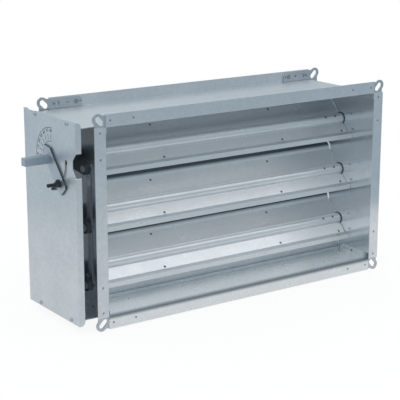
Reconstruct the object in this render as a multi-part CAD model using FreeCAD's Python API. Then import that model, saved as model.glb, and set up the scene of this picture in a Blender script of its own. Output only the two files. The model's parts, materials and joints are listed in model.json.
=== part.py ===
import FreeCAD, Part
import math
import os

# Regulating damper for rectangular ducts: three parallel blades in a flanged
# casing of galvanised sheet, turned by a hand lever on the left side.
# Frame: X across the opening, Y through the duct from the front flange to the
# rear flange, Z up. Origin: centre of the opening, in the front flange's face.
# Millimetres. The blades are drawn half open, at rest_tilt from level.

# Casing
opening_width = 540.0
casing_depth = 180.0
sheet = 1.2
flange_width = 20.0
wall_lip = 10.0

# Corner brackets and their slotted ears
ear_offset = 10.0
slot_width = 9.0
slot_length = 17.0
ear_radius = 9.0
bracket_thickness = 2.5
bracket_arm = 60.0
bracket_edge = 1.5
bracket_chamfer = 5.5
square_hole = 6.0
square_hole_place = 15.0
round_hole_radius = 2.2
round_hole_place = 33.0
end_hole_radius = 1.8
end_hole_place = 56.0
flush_rivet_radius = 1.8
bracket_rivet_near = 8.0
bracket_rivet_far = 49.0
button_radius = 4.0
flush_recess = 0.2

# Blades
blade_count = 3
blade_pitch = 93.0
blade_room = 10.5
blade_overlap = 0.5
blade_shift = 2.5
axis_depth = 86.0
rest_tilt = 48.0
closed_tilt = 88.0
blade_skin = 1.0
tube_clearance = 0.12
upper_lip_length = 7.5
upper_lip_rise = 4.6
upper_return_length = 6.8
upper_return_drop = 1.6
end_relief = 0.3
bead_length = 8.3
bead_rise = 6.8
lower_lip_length = 5.7
lower_lip_return = 4.3
back_skin_margin = 0.5
upper_rivet_margin = 5.0
lower_rivet_margin = 3.5
middle_rivet_spread = 122.0
end_rivet_place = 12.0

# Shafts and bearings
shaft_side = 12.0
shaft_insert = 60.0
hump_rivet_near = 18.0
hump_rivet_far = 40.0
bore_clearance = 0.05
bush_radius = 10.2
bush_clearance = 0.1
bush_flange_radius = 11.2
bush_flange = 0.8
bush_outside = 8.0
side_play = 0.3
clip_thickness = 1.5
clip_radius = 11.0
shaft_end = 3.0

# Cranks and link
crank_radius = 55.0
crank_drop = 10.0
crank_hub_radius = 13.0
crank_hub_length = 16.0
crank_hub_rim = 3.0
crank_eye_radius = 9.5
crank_thickness = 8.0
link_thickness = 3.0
link_width = 12.0
link_eye_radius = 8.0
link_gap = 0.3
pin_radius = 3.0
pin_clearance = 0.1
pin_head_radius = 5.5
pin_head = 2.0
pin_washer_radius = 5.0
pin_washer = 1.0

# Side panel and its shelves
panel_reach = 46.2
panel_front = 9.4
panel_rear_margin = 6.0
panel_overhang = 10.0
panel_lip = 10.0
panel_corner_radius = 8.0
notch_top = 20.0
notch_bottom = -19.0
notch_depth = 10.5
notch_inner_top = 8.0
notch_inner_bottom = -7.0
shelf_margin = 1.5
shaft_hole_radius = 10.0
relief_radius = 26.0
relief_depth = 3.0
relief_setback = 25.0
screw_inset = 5.0
front_screw_place = 26.0
rear_screw_place = 38.0
screw_radius = 1.9
screw_head_radius = 3.6
screw_head = 1.8
screw_length = 9.0

# Lever, clamp and wing nut
lever_gap = 0.3
lever_thickness = 3.0
lever_width = 24.0
lever_reach = 61.0
lever_shoulder = 12.0
lever_corner = 3.0
lever_clip_radius = 10.0
pointer_reach = 26.5
clamp_radius = 46.0
slot_play = 0.5
slot_overrun = 3.0
bolt_radius = 3.0
bolt_head_radius = 5.5
bolt_head = 3.0
clamp_washer_radius = 8.0
clamp_washer = 1.2
bolt_outside = 22.0
wing_hub_radius = 5.5
wing_hub_length = 8.0
wing_thickness = 2.5
wing_foot = 3.8
wing_foot_height = 2.4
wing_reach = 13.0
wing_tip_width = 3.2
wing_shoulder_height = 7.2
wing_height = 12.0
wing_gap = 0.3
wing_angle = -12.0
shaft_outside = 48.5

# Stop strips and casing rivets
stop_overlap = 3.0
stop_foot = 12.0
stop_joggle = 5.0
stop_ledge = 5.0
stop_gap = 0.6
stop_end_gap = 0.5
rivet_radius = 1.2
rivet_clearance = 0.05
rivet_head_radius = 2.1
rivet_head = 0.6
lip_rivet_margin = 45.0
stop_rivet_margin = 60.0
stop_rivet_count = 4

# How far a cutting shape reaches past the edge it cuts
cut_margin = 1.0

# Worked-out values
opening_height = blade_count * blade_pitch + 2 * blade_room
half_w = opening_width / 2
half_h = opening_height / 2
wall_face = half_w + sheet
axis_heights = [blade_pitch * ((blade_count - 1) / 2 - i) for i in range(blade_count)]
blade_middle = (blade_pitch + blade_overlap) / 2
upper_reach = blade_middle + blade_shift
lower_reach = blade_middle - blade_shift
tube_inner = shaft_side / math.sqrt(2) + tube_clearance
tube_outer = tube_inner + blade_skin
blade_end = half_w - side_play - bush_flange
lip_end = half_w - sheet - rivet_head - end_relief
upper_wing = upper_reach - upper_lip_length
lower_wing = lower_reach - lower_lip_length - bead_length
back_skin_upper = upper_wing - back_skin_margin
back_skin_lower = lower_wing - back_skin_margin
upper_rivet_place = back_skin_upper - upper_rivet_margin
lower_rivet_place = back_skin_lower - lower_rivet_margin
bolt_slot_width = 2 * bolt_radius + 2 * slot_play
panel_x = -(wall_face + panel_reach)
panel_inner = panel_x + sheet
panel_rear = casing_depth - panel_rear_margin
panel_top = half_h + panel_overhang
wall_rivet_places = [lip_rivet_margin, casing_depth / 2, casing_depth - lip_rivet_margin]
bush_end = wall_face + bush_outside
crank_start = bush_end + crank_hub_length - crank_thickness - crank_hub_rim
link_start = crank_start - link_gap - link_thickness
lever_start = wall_face + panel_reach + lever_gap
shelf_front = panel_front + sheet
shelf_rear = panel_rear - sheet
closed_sine = math.sin(math.radians(closed_tilt))
closed_cosine = math.cos(math.radians(closed_tilt))
upper_lip_face = blade_skin + upper_lip_rise
lower_lip_face = bead_rise - lower_lip_return
top_stop_face = axis_depth + upper_reach * closed_cosine - upper_lip_face * closed_sine - stop_gap
bottom_stop_face = axis_depth - lower_reach * closed_cosine - lower_lip_face * closed_sine + stop_gap
top_stop_height = half_h - axis_heights[0] - upper_reach + stop_overlap
bottom_stop_height = half_h + axis_heights[-1] - lower_reach + stop_overlap
top_stop_root = top_stop_face - sheet / 2 - stop_joggle
bottom_stop_root = bottom_stop_face + sheet / 2 - stop_joggle

parts = {}


def box(x0, x1, y0, y1, z0, z1):
    """A block between two corners, given in any order."""
    lo = [min(x0, x1), min(y0, y1), min(z0, z1)]
    hi = [max(x0, x1), max(y0, y1), max(z0, z1)]
    size = [b - a for a, b in zip(lo, hi)]
    return Part.makeBox(size[0], size[1], size[2], FreeCAD.Vector(*lo))


def rod_x(x0, x1, y, z, radius):
    """A round rod along X."""
    start = FreeCAD.Vector(min(x0, x1), y, z)
    return Part.makeCylinder(radius, abs(x1 - x0), start, FreeCAD.Vector(1, 0, 0))


def rod_y(x, y0, y1, z, radius):
    """A round rod along Y."""
    start = FreeCAD.Vector(x, min(y0, y1), z)
    return Part.makeCylinder(radius, abs(y1 - y0), start, FreeCAD.Vector(0, 1, 0))


def rod_z(x, y, z0, z1, radius):
    """A round rod along Z."""
    start = FreeCAD.Vector(x, y, min(z0, z1))
    return Part.makeCylinder(radius, abs(z1 - z0), start, FreeCAD.Vector(0, 0, 1))


def prism_x(points, x0, x1):
    """A closed outline of (y, z) points, drawn out along X."""
    corners = [FreeCAD.Vector(x0, y, z) for y, z in points]
    face = Part.Face(Part.makePolygon(corners + corners[:1]))
    return face.extrude(FreeCAD.Vector(x1 - x0, 0, 0))


def prism_y(points, y0, y1):
    """A closed outline of (x, z) points, drawn out along Y."""
    corners = [FreeCAD.Vector(x, y0, z) for x, z in points]
    face = Part.Face(Part.makePolygon(corners + corners[:1]))
    return face.extrude(FreeCAD.Vector(0, y1 - y0, 0))


def join(shapes):
    """Several touching or overlapping shapes as one clean solid."""
    whole = shapes[0].fuse(shapes[1:]) if len(shapes) > 1 else shapes[0]
    return whole.removeSplitter()


def cut(shape, tools):
    """A shape with the tools taken away."""
    return shape.cut(Part.makeCompound(tools))


def turned(shape, degrees, y, z):
    """A copy turned about the X direction through (y, z)."""
    copy = shape.copy()
    copy.rotate(FreeCAD.Vector(0, y, z), FreeCAD.Vector(1, 0, 0), degrees)
    return copy


def on_blade(shape, height, degrees=rest_tilt):
    """Put a shape drawn about the X axis onto the blade axis at this height."""
    placed = shape.copy()
    placed.translate(FreeCAD.Vector(0, axis_depth, height))
    return turned(placed, degrees, axis_depth, height)


def add(name, shapes):
    """Keep one named piece; several solids stay separate in it."""
    shapes = shapes if isinstance(shapes, list) else [shapes]
    solids = [solid for shape in shapes for solid in shape.Solids]
    parts[name] = solids[0] if len(solids) == 1 else Part.makeCompound(solids)


def square_bar(x0, x1, side):
    """A square bar along X, centred on the axis."""
    return box(x0, x1, -side / 2, side / 2, -side / 2, side / 2)


def strip(points, thickness):
    """A bent strip's outline from the points of its middle line, with mitred bends."""
    left = []
    right = []
    count = len(points)
    for i in range(count):
        before = points[max(i - 1, 0)]
        after = points[min(i + 1, count - 1)]
        here = points[i]
        d0 = (here[0] - before[0], here[1] - before[1]) if i > 0 else None
        d1 = (after[0] - here[0], after[1] - here[1]) if i < count - 1 else None
        d0 = d0 or d1
        d1 = d1 or d0
        n0 = (-d0[1] / math.hypot(*d0), d0[0] / math.hypot(*d0))
        n1 = (-d1[1] / math.hypot(*d1), d1[0] / math.hypot(*d1))
        mid = (n0[0] + n1[0], n0[1] + n1[1])
        scale = thickness / (1 + n0[0] * n1[0] + n0[1] * n1[1]) / 2
        left.append((here[0] + mid[0] * scale, here[1] + mid[1] * scale))
        right.append((here[0] - mid[0] * scale, here[1] - mid[1] * scale))
    return left + right[::-1]


# Casing walls

def level_wall(side):
    """The top (side 1) or bottom (side -1) wall, with flanges and end lips."""
    inner = side * half_h
    outer = side * (half_h + sheet)
    edge = side * (half_h + flange_width)
    lip = side * (half_h - wall_lip)
    wall = box(-half_w, half_w, 0, casing_depth, inner, outer)
    front = box(-half_w, half_w, 0, sheet, inner, edge)
    rear = box(-half_w, half_w, casing_depth - sheet, casing_depth, inner, edge)
    lips = [box(x, x - math.copysign(sheet, x), 0, casing_depth, lip, inner)
            for x in (-half_w, half_w)]
    return join([wall, front, rear] + lips)


def upright_wall(side):
    """The left (side -1) or right (side 1) wall, with flanges and bearing holes."""
    inner = side * half_w
    edge = side * (half_w + flange_width)
    top = half_h + sheet
    wall = box(inner, side * wall_face, 0, casing_depth, -top, top)
    front = box(inner, edge, 0, sheet, -half_h, half_h)
    rear = box(inner, edge, casing_depth - sheet, casing_depth, -half_h, half_h)
    holes = [rod_x(inner, side * wall_face, axis_depth, height, bush_radius + bush_clearance)
             for height in axis_heights]
    return cut(join([wall, front, rear]), holes)


def corner_places(along, out):
    """The two places on a bracket's arms, in (outward X, outward Z) from the opening corner."""
    return [(-along, out), (out, -along)]


def bracket_plate(inner_face, outer_face, side_x, side_z):
    """An L-shaped corner bracket with a slotted ear, between two depths."""
    def spot(p, q):
        return (side_x * (half_w + p), side_z * (half_h + q))

    far = flange_width - bracket_edge
    near = bracket_edge
    flat_arm = [(-bracket_arm, near), (-bracket_arm, far - bracket_chamfer), (-bracket_arm + bracket_chamfer, far),
                (ear_offset, far), (ear_offset, near)]
    arms = [prism_y([spot(p, q) for p, q in flat_arm], inner_face, outer_face),
            prism_y([spot(q, p) for p, q in flat_arm], inner_face, outer_face)]
    reach = (slot_length - slot_width) / 2 / math.sqrt(2)
    centres = [ear_offset - reach, ear_offset + reach]
    ear = stadium_y(spot(centres[0], centres[0]), spot(centres[1], centres[1]),
                    ear_radius, inner_face, outer_face)
    slot = stadium_y(spot(centres[0], centres[0]), spot(centres[1], centres[1]),
                     slot_width / 2, inner_face, outer_face)
    inside = [spot(-bracket_arm - cut_margin, -bracket_arm - cut_margin), spot(near, near)]
    wall_room = box(inside[0][0], inside[1][0], inner_face, outer_face, inside[0][1], inside[1][1])
    tools = [wall_room, slot]
    middle = flange_width / 2
    for p, q in corner_places(square_hole_place, middle):
        x, z = spot(p, q)
        half = square_hole / 2
        tools.append(box(x - half, x + half, inner_face, outer_face, z - half, z + half))
    for place, radius in ((round_hole_place, round_hole_radius), (end_hole_place, end_hole_radius)):
        for p, q in corner_places(place, middle):
            x, z = spot(p, q)
            tools.append(rod_y(x, inner_face, outer_face, z, radius))
    for place in (bracket_rivet_near, bracket_rivet_far):
        for p, q in corner_places(place, middle):
            x, z = spot(p, q)
            tools.append(rod_y(x, inner_face, outer_face, z, flush_rivet_radius + rivet_clearance))
    return cut(join(arms + [ear]), tools)


def stadium_y(start, end, radius, y0, y1):
    """A slot-shaped plate with round ends at two (x, z) points."""
    dx = end[0] - start[0]
    dz = end[1] - start[1]
    length = math.hypot(dx, dz)
    nx = -dz / length * radius
    nz = dx / length * radius
    bar = prism_y([(start[0] + nx, start[1] + nz), (end[0] + nx, end[1] + nz),
                   (end[0] - nx, end[1] - nz), (start[0] - nx, start[1] - nz)], y0, y1)
    ends = [rod_y(p[0], y0, y1, p[1], radius) for p in (start, end)]
    return join([bar] + ends)


def bracket_rivet_spots():
    """Where the corner brackets are fixed: (x, z, head radius) on either flange face."""
    spots = []
    for side_x in (-1, 1):
        for side_z in (-1, 1):
            for place, radius in ((bracket_rivet_near, rivet_head_radius),
                                  (bracket_rivet_far, button_radius)):
                for p, q in corner_places(place, flange_width / 2):
                    spots.append((side_x * (half_w + p), side_z * (half_h + q), radius))
    return spots


def lip_rivet_spots():
    """Where the end lips are riveted to the upright walls: (side, y, z)."""
    height = half_h - wall_lip / 2
    return [(side, y, z) for side in (-1, 1) for y in wall_rivet_places for z in (-height, height)]


def stop_rivet_spots():
    """Where the stop strips are riveted to the level walls: (x, y, side)."""
    reach = half_w - stop_rivet_margin
    step = 2 * reach / (stop_rivet_count - 1)
    middles = {1: top_stop_root - stop_foot / 2, -1: bottom_stop_root + stop_foot / 2}
    return [(-reach + i * step, middles[side], side) for i in range(stop_rivet_count) for side in (-1, 1)]


def casing_holes():
    """Every rivet hole of the casing."""
    tools = []
    for x, z, radius in bracket_rivet_spots():
        tools.append(rod_y(x, 0, sheet, z, flush_rivet_radius + rivet_clearance))
        tools.append(rod_y(x, casing_depth - sheet, casing_depth, z, flush_rivet_radius + rivet_clearance))
    for side, y, z in lip_rivet_spots():
        inner = side * (half_w - sheet)
        outer = side * (wall_face + sheet)
        tools.append(rod_x(inner, outer, y, z, rivet_radius + rivet_clearance))
    for x, y, side in stop_rivet_spots():
        tools.append(rod_z(x, y, side * (half_h - sheet), side * (half_h + sheet),
                           rivet_radius + rivet_clearance))
    return tools


def build_casing():
    """The four walls, eight corner brackets, two stop strips and all their rivets."""
    holes = casing_holes()
    add("duct_top_wall", cut(level_wall(1), holes))
    add("duct_bottom_wall", cut(level_wall(-1), holes))
    add("duct_left_wall", cut(upright_wall(-1), holes))
    add("duct_right_wall", cut(upright_wall(1), holes))
    faces = {"front": (sheet, sheet + bracket_thickness),
             "rear": (casing_depth - sheet - bracket_thickness, casing_depth - sheet)}
    for face, (y0, y1) in faces.items():
        for level, side_z in (("top", 1), ("bottom", -1)):
            for hand, side_x in (("left", -1), ("right", 1)):
                add("%s_corner_%s_%s" % (face, level, hand), bracket_plate(y0, y1, side_x, side_z))
    add("top_stop_strip", cut(stop_strip(1), holes))
    add("bottom_stop_strip", cut(stop_strip(-1), holes))
    add("corner_rivets", [corner_rivet(x, z, radius, rear)
                          for x, z, radius in bracket_rivet_spots() for rear in (False, True)])
    add("casing_rivets", [lip_rivet(side, y, z) for side, y, z in lip_rivet_spots()]
        + [stop_rivet(x, y, side) for x, y, side in stop_rivet_spots()])


def stop_strip(side):
    """The folded strip that the closed blades meet, on the top (1) or bottom (-1) wall."""
    reach = half_w - sheet - stop_end_gap
    root = top_stop_root if side == 1 else bottom_stop_root
    height = top_stop_height if side == 1 else bottom_stop_height
    foot_z = side * (half_h - sheet / 2)
    ledge_z = side * (half_h - stop_ledge)
    points = [(root - side * stop_foot, foot_z), (root, foot_z), (root, ledge_z),
              (root + stop_joggle, ledge_z), (root + stop_joggle, side * (half_h - height))]
    return prism_x(strip(points, sheet), -reach, reach)


def corner_rivet(x, z, radius, rear):
    """A flush rivet through flange and bracket, with a round head behind the bracket."""
    if rear:
        start = casing_depth - flush_recess
        end = casing_depth - sheet - bracket_thickness
        head = rod_y(x, end, end - rivet_head, z, radius)
    else:
        start = flush_recess
        end = sheet + bracket_thickness
        head = rod_y(x, end, end + rivet_head, z, radius)
    return join([rod_y(x, start, end, z, flush_rivet_radius), head])


def lip_rivet(side, y, z):
    """A rivet through an end lip and the upright wall, and on the left also a shelf's lip."""
    inner = side * (half_w - sheet)
    outer = side * (wall_face + (sheet if side == -1 else 0))
    return join([rod_x(inner, outer, y, z, rivet_radius),
                 rod_x(inner, inner - side * rivet_head, y, z, rivet_head_radius),
                 rod_x(outer, outer + side * rivet_head, y, z, rivet_head_radius)])


def stop_rivet(x, y, side):
    """A rivet through a stop strip's foot and the level wall."""
    inner = side * (half_h - sheet)
    outer = side * (half_h + sheet)
    return join([rod_z(x, y, inner, outer, rivet_radius),
                 rod_z(x, y, inner, inner - side * rivet_head, rivet_head_radius),
                 rod_z(x, y, outer, outer + side * rivet_head, rivet_head_radius)])


# Blades, drawn about the X axis with the chord along Y and the front side up

def half_tube(side):
    """The half-round hump that holds the shafts, on the front (1) or back (-1) skin."""
    ring = cut(rod_x(-blade_end, blade_end, 0, 0, tube_outer),
               [rod_x(-blade_end, blade_end, 0, 0, tube_inner)])
    room = box(-blade_end, blade_end, -tube_outer, tube_outer, 0, side * tube_outer)
    return ring.common(room)


def wing_strip(points):
    """One wing of a skin, from its middle line."""
    return prism_x(strip(points, blade_skin), -blade_end, blade_end)


def front_skin():
    """The skin seen from the front: upper lip folded forward and back, hump, bead and lip below.

    The upper lip is cut back at both ends, clear of the top wall's end lips and their rivets.
    """
    root = tube_inner + blade_skin / 2
    mid = blade_skin / 2
    upper = [(root, mid), (upper_wing, mid), (upper_reach, mid + upper_lip_rise),
             (upper_reach + upper_return_length, mid + upper_lip_rise - upper_return_drop)]
    lower = [(-root, mid), (-lower_wing, mid), (-lower_wing - bead_length, mid + bead_rise),
             (-lower_reach, mid + bead_rise - lower_lip_return)]
    tip = upper_reach + upper_return_length + cut_margin
    reliefs = [box(side * lip_end, side * (blade_end + cut_margin), upper_wing, tip, -cut_margin,
                   upper_lip_face + cut_margin) for side in (-1, 1)]
    return cut(join([half_tube(1), wing_strip(upper), wing_strip(lower)]), reliefs)


def back_skin():
    """The flat rear skin with its own half-round hump."""
    root = tube_inner + blade_skin / 2
    mid = -blade_skin / 2
    return join([half_tube(-1), wing_strip([(root, mid), (back_skin_upper, mid)]),
                 wing_strip([(-root, mid), (-back_skin_lower, mid)])])


def wing_rivet_spots():
    """Where the two skins are riveted together: (x, place along the chord)."""
    ends = blade_end - end_rivet_place
    spots = [(x, upper_rivet_place) for x in (-middle_rivet_spread, middle_rivet_spread)]
    return spots + [(x, -lower_rivet_place)
                    for x in (-ends, -middle_rivet_spread, middle_rivet_spread, ends)]


def hump_rivet_places():
    """Where the shafts are riveted in the hump, from end to end."""
    return [side * (blade_end - place) for side in (-1, 1) for place in (hump_rivet_near, hump_rivet_far)]


def through_rivet(x, y, half, radius):
    """A round-headed rivet along Z whose heads sit at plus and minus half."""
    return join([rod_z(x, y, -half, half, rivet_radius),
                 rod_z(x, y, half, half + rivet_head, radius),
                 rod_z(x, y, -half, -half - rivet_head, radius)])


def blade_rivet_holes():
    """The rivet holes through both skins and the shafts."""
    tools = [rod_z(x, y, -tube_outer, tube_outer, rivet_radius + rivet_clearance)
             for x, y in wing_rivet_spots()]
    return tools + [rod_z(x, 0, -tube_outer, tube_outer, rivet_radius + rivet_clearance)
                    for x in hump_rivet_places()]


def bush(side):
    """A black bush with a square bore that turns in the wall's round hole."""
    inner = side * (half_w - side_play - bush_flange)
    face = side * (half_w - side_play)
    outer = side * bush_end
    return join([rod_x(inner, face, 0, 0, bush_flange_radius), rod_x(inner, outer, 0, 0, bush_radius)])


def bore_tool(degrees=0):
    """A long square bar a little wider than the shaft, for cutting square bores."""
    reach = -panel_x + shaft_outside
    return turned(square_bar(-reach, reach, shaft_side + 2 * bore_clearance), degrees, 0, 0)


def crank():
    """The black crank arm with a hub, pointing along -Y; its pin end is tapered and round."""
    hub = rod_x(-bush_end, -bush_end - crank_hub_length, 0, 0, crank_hub_radius)
    near = -crank_start
    far = -crank_start - crank_thickness
    lean = math.acos((crank_hub_radius - crank_eye_radius) / crank_radius)
    cosine = math.cos(lean)
    sine = math.sin(lean)
    outline = [(-crank_hub_radius * cosine, crank_hub_radius * sine),
               (-crank_radius - crank_eye_radius * cosine, crank_eye_radius * sine),
               (-crank_radius - crank_eye_radius * cosine, -crank_eye_radius * sine),
               (-crank_hub_radius * cosine, -crank_hub_radius * sine)]
    arm = prism_x(outline, near, far)
    eye = rod_x(near, far, -crank_radius, 0, crank_eye_radius)
    hole = rod_x(near, far, -crank_radius, 0, pin_radius + rivet_clearance)
    return cut(join([hub, arm, eye]), [hole])


def crank_pin():
    """The shiny pin of a crank, with the washer that is peened on behind the link."""
    outer = -crank_start - crank_thickness
    washer_face = -link_start + link_gap
    end = washer_face + pin_washer
    pin = join([rod_x(outer, end, -crank_radius, 0, pin_radius),
                rod_x(outer, outer - pin_head, -crank_radius, 0, pin_head_radius)])
    washer = cut(rod_x(washer_face, end, -crank_radius, 0, pin_washer_radius),
                 [rod_x(washer_face, end, -crank_radius, 0, pin_radius + rivet_clearance)])
    return [pin, washer]


def build_blade(index):
    """One blade with its skins, shafts, bushes, crank, pin and rivets."""
    height = axis_heights[index]
    name = "blade_%d" % (index + 1)
    driven = index == 0
    flats = 0 if driven else rest_tilt
    holes = blade_rivet_holes()
    add(name + "_front_skin", on_blade(cut(front_skin(), holes), height))
    add(name + "_back_skin", on_blade(cut(back_skin(), holes), height))
    rivets = [through_rivet(x, y, blade_skin, rivet_head_radius) for x, y in wing_rivet_spots()]
    rivets += [through_rivet(x, 0, tube_outer, rivet_head_radius) for x in hump_rivet_places()]
    add(name + "_rivets", [on_blade(rivet, height) for rivet in rivets])
    drilled = [on_blade(tool, height) for tool in holes]
    inner = blade_end - shaft_insert
    left_reach = -panel_x + shaft_outside if driven else bush_end + crank_hub_length + shaft_end
    left = square_bar(-inner, -left_reach, shaft_side)
    add("drive_shaft" if driven else name + "_left_shaft", cut(on_blade(left, height, flats), drilled))
    right = square_bar(inner, bush_end + clip_thickness + shaft_end, shaft_side)
    add(name + "_right_shaft", cut(on_blade(right, height), drilled))
    add(name + "_left_bush", on_blade(cut(bush(-1), [bore_tool(flats - rest_tilt)]), height))
    add(name + "_right_bush", on_blade(cut(bush(1), [bore_tool()]), height))
    clip = cut(rod_x(bush_end, bush_end + clip_thickness, 0, 0, clip_radius), [bore_tool()])
    add(name + "_end_clip", on_blade(clip, height))
    add("crank_%d" % (index + 1), on_blade(cut(crank(), [bore_tool(flats - crank_drop)]), height, crank_drop))
    add("crank_pin_%d" % (index + 1), [on_blade(solid, height, crank_drop) for solid in crank_pin()])


def pin_place(index):
    """A crank pin's (y, z) with the blades half open."""
    angle = math.radians(crank_drop)
    return (axis_depth - crank_radius * math.cos(angle), axis_heights[index] - crank_radius * math.sin(angle))


def build_link():
    """The flat bar that joins the three crank pins."""
    x0 = -link_start
    x1 = -link_start - link_thickness
    places = [pin_place(i) for i in range(blade_count)]
    y = places[0][0]
    top = places[0][1]
    bottom = places[-1][1]
    bar = box(x0, x1, y - link_width / 2, y + link_width / 2, bottom, top)
    eyes = [rod_x(x0, x1, y, z, link_eye_radius) for z in [place[1] for place in places]]
    holes = [rod_x(x0, x1, y, place[1], pin_radius + pin_clearance) for place in places]
    add("link_bar", cut(join([bar] + eyes), holes))


# Side panel, shelves, lever and clamp

def arc_slot(radius, half_width, start, end, x0, x1):
    """A slot along an arc about the top blade's axis, between two angles in degrees."""
    height = axis_heights[0]

    def at(r, degrees):
        angle = math.radians(degrees)
        return FreeCAD.Vector(x0, axis_depth + r * math.cos(angle), height + r * math.sin(angle))

    def cap(degrees, outward):
        angle = math.radians(degrees)
        middle = at(radius, degrees)
        ahead = FreeCAD.Vector(0, -math.sin(angle), math.cos(angle)) * (half_width * outward)
        return middle + ahead

    middle = (start + end) / 2
    outer = radius + half_width
    inner = radius - half_width
    edges = [Part.Arc(at(outer, start), at(outer, middle), at(outer, end)).toShape(),
             Part.Arc(at(outer, end), cap(end, 1), at(inner, end)).toShape(),
             Part.Arc(at(inner, end), at(inner, middle), at(inner, start)).toShape(),
             Part.Arc(at(inner, start), cap(start, -1), at(outer, start)).toShape()]
    return Part.Face(Part.Wire(edges)).extrude(FreeCAD.Vector(x1 - x0, 0, 0))


def screw_spots():
    """Where the side panel is screwed to the shelves: (y, z)."""
    height = panel_top - screw_inset
    return [(y, z) for y in (panel_front + front_screw_place, panel_rear - rear_screw_place)
            for z in (-height, height)]


def lip_corner_tool(side_z, y0, y1):
    """What rounds off a front lip's free corner at the top (1) or bottom (-1)."""
    x1 = panel_x + panel_lip
    z1 = side_z * panel_top
    x0 = x1 - panel_corner_radius
    z0 = z1 - side_z * panel_corner_radius
    return cut(box(x0, x1, y0, y1, z0, z1), [rod_y(x0, y0, y1, z0, panel_corner_radius)])


def build_side_panel():
    """The side panel with its folded lips, notch, arc slot and shaft hole."""
    plate = box(panel_x, panel_inner, panel_front, panel_rear, -panel_top, panel_top)
    lips = [box(panel_x, panel_x + panel_lip, y, y + sheet, -panel_top, panel_top)
            for y in (panel_front, panel_rear - sheet)]
    tools = [lip_corner_tool(side, y, y + sheet) for side in (-1, 1)
             for y in (panel_front, panel_rear - sheet)]
    height = axis_heights[0]
    deep = panel_front + notch_depth
    notch = [(panel_front, height + notch_top), (deep, height + notch_inner_top),
             (deep, height + notch_inner_bottom), (panel_front, height + notch_bottom),
             (panel_front - sheet, height + notch_bottom), (panel_front - sheet, height + notch_top)]
    tools.append(prism_x(notch, panel_x, panel_x + panel_lip))
    tools.append(arc_slot(clamp_radius, bolt_slot_width / 2, 180 - slot_overrun,
                          180 + closed_tilt + slot_overrun, panel_x, panel_inner))
    tools.append(rod_x(panel_x, panel_inner, axis_depth, height, shaft_hole_radius))
    tools.append(rod_x(panel_x, panel_inner, panel_rear - relief_setback,
                       panel_top + relief_radius - relief_depth, relief_radius))
    tools += screw_holes()
    add("side_panel", cut(join([plate] + lips), tools))


def screw_holes():
    """The screw holes through the panel and the shelves' outer lips."""
    return [rod_x(panel_x, panel_inner + sheet, y, z, screw_radius + rivet_clearance)
            for y, z in screw_spots()]


def build_shelves():
    """The two shelves that carry the side panel, and the screws."""
    tools = screw_holes() + casing_holes()
    for name, side in (("top", 1), ("bottom", -1)):
        wall = side * half_h
        outer = side * (half_h + sheet)
        plate = box(-wall_face, panel_inner, shelf_front, shelf_rear, wall, outer)
        panel_side = box(panel_inner, panel_inner + sheet, shelf_front, shelf_rear,
                         wall, side * (panel_top - shelf_margin))
        duct_side = box(-wall_face, -wall_face - sheet, shelf_front, shelf_rear,
                        outer, side * (half_h - wall_lip))
        add("panel_shelf_" + name, cut(join([plate, panel_side, duct_side]), tools))
    screws = []
    for y, z in screw_spots():
        screws.append(join([rod_x(panel_x, panel_x + screw_length, y, z, screw_radius),
                            rod_x(panel_x, panel_x - screw_head, y, z, screw_head_radius)]))
    add("panel_screws", screws)


def build_lever():
    """The lever on the drive shaft, its clip, the clamp bolt and the wing nut."""
    height = axis_heights[0]
    inner = -lever_start
    outer = -lever_start - lever_thickness
    half = lever_width / 2
    outline = [(-lever_reach, -half + lever_corner), (-lever_reach + lever_corner, -half),
               (lever_shoulder, -half), (pointer_reach, 0), (lever_shoulder, half),
               (-lever_reach + lever_corner, half), (-lever_reach, half - lever_corner)]
    bolt_hole = rod_x(inner, outer, -clamp_radius, 0, bolt_radius + rivet_clearance)
    lever = cut(prism_x(outline, inner, outer), [bolt_hole, bore_tool(-rest_tilt)])
    add("lever", on_blade(lever, height))
    clip = cut(rod_x(outer, outer - clip_thickness, 0, 0, lever_clip_radius), [bore_tool(-rest_tilt)])
    add("lever_clip", on_blade(clip, height))
    washer_face = panel_inner + lever_gap
    head_face = washer_face + clamp_washer
    washer = cut(rod_x(washer_face, head_face, -clamp_radius, 0, clamp_washer_radius),
                 [rod_x(washer_face, head_face, -clamp_radius, 0, bolt_radius + rivet_clearance)])
    add("clamp_washer", on_blade(washer, height))
    head = hexagon_x(head_face, head_face + bolt_head, -clamp_radius, bolt_head_radius)
    shank = rod_x(head_face, outer - bolt_outside, -clamp_radius, 0, bolt_radius)
    add("clamp_bolt", on_blade(join([head, shank]), height))
    add("wing_nut", on_blade(wing_nut(outer - wing_gap), height))


def hexagon_x(x0, x1, y, radius):
    """A hexagonal head along X; the radius is half its width across flats."""
    corner = radius / math.cos(math.pi / 6)
    points = [(y + corner * math.cos(math.pi * i / 3), corner * math.sin(math.pi * i / 3)) for i in range(6)]
    return prism_x(points, x0, x1)


def wing_nut(face):
    """A wing nut on the clamp bolt, its hub face at this X and its wings leaning outwards."""
    hub = rod_x(face, face - wing_hub_length, -clamp_radius, 0, wing_hub_radius)
    outline = [(0, wing_foot), (wing_foot_height, wing_hub_radius), (wing_shoulder_height, wing_reach),
               (wing_height, wing_reach), (wing_height, wing_reach - wing_tip_width),
               (wing_hub_length, wing_foot)]
    wings = []
    for side in (-1, 1):
        corners = [FreeCAD.Vector(face - h, -clamp_radius - wing_thickness / 2, side * r) for h, r in outline]
        face_of_wing = Part.Face(Part.makePolygon(corners + corners[:1]))
        wings.append(face_of_wing.extrude(FreeCAD.Vector(0, wing_thickness, 0)))
    hole = rod_x(face, face - wing_hub_length, -clamp_radius, 0, bolt_radius + pin_clearance)
    nut = cut(join([hub] + wings), [hole])
    return turned(nut, wing_angle, -clamp_radius, 0)


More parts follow.
